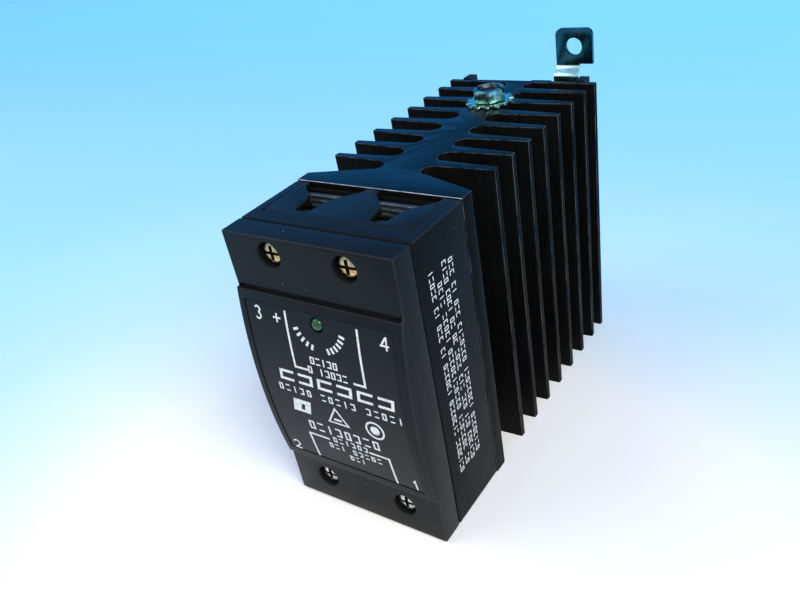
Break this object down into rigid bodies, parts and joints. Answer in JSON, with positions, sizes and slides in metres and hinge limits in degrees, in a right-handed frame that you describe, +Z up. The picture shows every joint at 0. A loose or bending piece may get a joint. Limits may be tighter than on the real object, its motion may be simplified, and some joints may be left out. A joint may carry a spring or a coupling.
{
  "type": "solid state relay",
  "caption": "DIN rail solid state relay on its own finned heat sink, with screw clamp terminals, a status lamp, a ground screw and a sprung rail latch.",
  "frame": {"origin": "middle of the bounding box at the level of the heat sink's lower end", "axes": "+X to the relay's right seen from the front, +Y from the front cover to the rail clip, +Z up towards the input terminals and the pull tab"},
  "size_m": [0.045, 0.1102, 0.0906],
  "materials": {
    "housing": "fine matt moulding texture, dark slate",
    "label": "satin printed film, dark grey",
    "anodised": "black anodised extrusion with faint drawing lines",
    "clip": "black glass-filled moulding",
    "spring_steel": "bright rolled sheet",
    "zinc": "zinc plated, slightly greenish",
    "brass_plated": "yellow passivated",
    "tinned_copper": "dull tin plating",
    "led_lens": "clear green epoxy, unlit",
    "laminate": "green solder mask",
    "component_black": "moulded epoxy",
    "resistor_ceramic": "painted ceramic",
    "capacitor_film": "dipped epoxy",
    "varistor_coat": "dipped epoxy",
    "alumina": "sintered alumina",
    "silicon": "passivated silicon",
    "thermal_film": "filled silicone film"
  },
  "bodies": {
    "relay_frame": {"front_cover": "housing", "base_housing": "housing", "top_wire_guide": "housing", "bottom_wire_guide": "housing", "front_label": "label", "heat_sink": "anodised", "rail_clip": "clip", "latch_spring": "spring_steel", "housing_screw_lower": "zinc", "housing_screw_upper": "zinc", "clip_screw_lower": "zinc", "clip_screw_upper": "zinc", "status_led": "led_lens", "circuit_board": "laminate", "optocoupler": "component_black", "trigger_triac": "component_black", "input_resistor": "resistor_ceramic", "snubber_resistor": "resistor_ceramic", "snubber_capacitor": "capacitor_film", "surge_varistor": "varistor_coat", "power_substrate": "alumina", "thyristor_die_left": "silicon", "thyristor_die_right": "silicon", "gate_lead_left": "tinned_copper", "gate_lead_right": "tinned_copper", "thermal_pad": "thermal_film", "terminal_bar_1": "tinned_copper", "terminal_bar_2": "tinned_copper", "terminal_bar_3": "tinned_copper", "terminal_bar_4": "tinned_copper"},
    "ground_washer_body": {"ground_washer": "zinc"},
    "ground_screw_body": {"ground_screw": "zinc"},
    "latch": {"rail_latch": "spring_steel"},
    "screw_1": {"terminal_screw_1": "zinc"},
    "cage_1": {"terminal_cage_1": "tinned_copper"},
    "screw_2": {"terminal_screw_2": "zinc"},
    "cage_2": {"terminal_cage_2": "tinned_copper"},
    "screw_3": {"terminal_screw_3": "brass_plated"},
    "cage_3": {"terminal_cage_3": "tinned_copper"},
    "screw_4": {"terminal_screw_4": "brass_plated"},
    "cage_4": {"terminal_cage_4": "tinned_copper"}
  },
  "joints": [
    {"name": "screw_1_turn", "type": "hinge", "parent": "relay_frame", "child": "screw_1", "pos_m": [0.0118, -0.04425, 0.0084], "axis": [0, 1, 0], "range_deg": [0, 3189]},
    {"name": "cage_1_rise", "type": "slide", "parent": "relay_frame", "child": "cage_1", "axis": [0, -1, 0], "range_m": [0, 0.0062]},
    {"name": "screw_2_turn", "type": "hinge", "parent": "relay_frame", "child": "screw_2", "pos_m": [-0.0118, -0.04425, 0.0084], "axis": [0, 1, 0], "range_deg": [0, 3189]},
    {"name": "cage_2_rise", "type": "slide", "parent": "relay_frame", "child": "cage_2", "axis": [0, -1, 0], "range_m": [0, 0.0062]},
    {"name": "screw_3_turn", "type": "hinge", "parent": "relay_frame", "child": "screw_3", "pos_m": [-0.01005, -0.04425, 0.07325], "axis": [0, 1, 0], "range_deg": [0, 3189]},
    {"name": "cage_3_rise", "type": "slide", "parent": "relay_frame", "child": "cage_3", "axis": [0, -1, 0], "range_m": [0, 0.0062]},
    {"name": "screw_4_turn", "type": "hinge", "parent": "relay_frame", "child": "screw_4", "pos_m": [0.01005, -0.04425, 0.07325], "axis": [0, 1, 0], "range_deg": [0, 3189]},
    {"name": "cage_4_rise", "type": "slide", "parent": "relay_frame", "child": "cage_4", "axis": [0, -1, 0], "range_m": [0, 0.0062]},
    {"name": "ground_washer_lift", "type": "slide", "parent": "relay_frame", "child": "ground_washer_body", "axis": [0, 0, 1], "range_m": [0, 0.004]},
    {"name": "ground_screw_turn", "type": "hinge", "parent": "ground_washer_body", "child": "ground_screw_body", "pos_m": [0, 0.02875, 0.08], "axis": [0, 0, 1], "range_deg": [0, 1801]},
    {"name": "latch_pull", "type": "slide", "parent": "relay_frame", "child": "latch", "axis": [0, 0, 1], "range_m": [0, 0.004], "stiffness_N_per_m": 800, "springref_m": -0.003, "deforming": ["latch_spring"]}
  ],
  "couplings": [
    {"joint": "screw_1_turn", "follows": "cage_1_rise", "rad_per_m": 8976},
    {"joint": "screw_2_turn", "follows": "cage_2_rise", "rad_per_m": 8976},
    {"joint": "screw_3_turn", "follows": "cage_3_rise", "rad_per_m": 8976},
    {"joint": "screw_4_turn", "follows": "cage_4_rise", "rad_per_m": 8976},
    {"joint": "ground_screw_turn", "follows": "ground_washer_lift", "rad_per_m": 7854}
  ]
}
